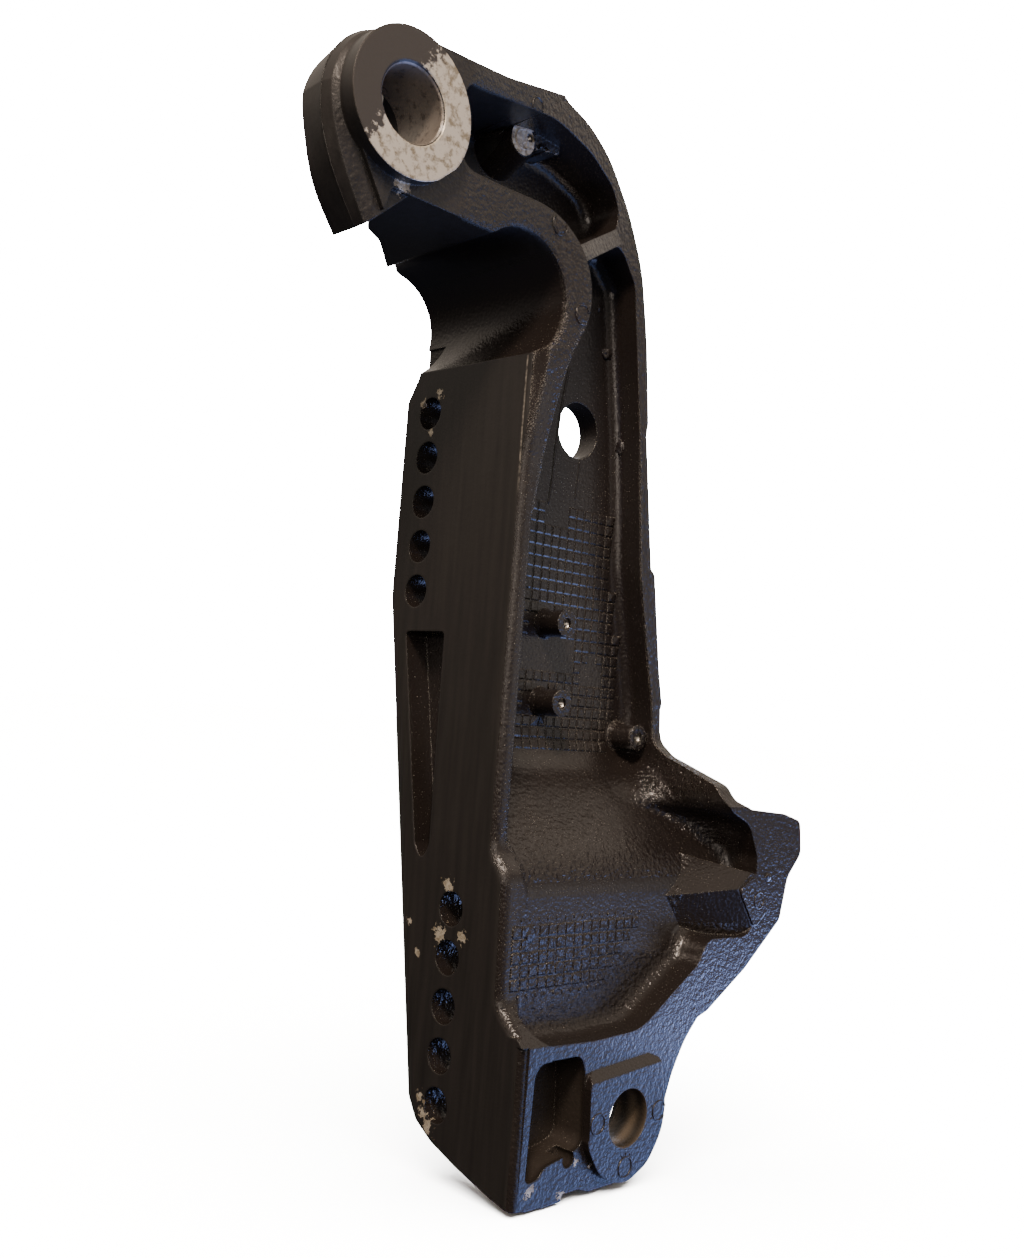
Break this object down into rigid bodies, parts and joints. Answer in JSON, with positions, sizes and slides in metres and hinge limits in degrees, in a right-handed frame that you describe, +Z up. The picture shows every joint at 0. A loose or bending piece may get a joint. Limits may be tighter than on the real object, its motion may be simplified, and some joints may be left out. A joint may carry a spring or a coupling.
{
  "type": "outboard motor clamp bracket",
  "caption": "Cast starboard clamp bracket of an outboard motor: bolts to a boat's transom, hooks over it and carries the tilt tube in a bored head.",
  "frame": {"origin": "on the transom face, at the middle hole of the upper bolt row", "axes": "+X aft, away from the transom; +Y to the outboard side of this starboard half; +Z up along the bolt rows"},
  "size_m": [0.2825, 0.1021, 0.4389],
  "materials": {
    "casting": "worn gloss black paint over a die-cast aluminium skin"
  },
  "bodies": {
    "root": {"clamp_bracket": "casting"}
  },
  "joints": []
}
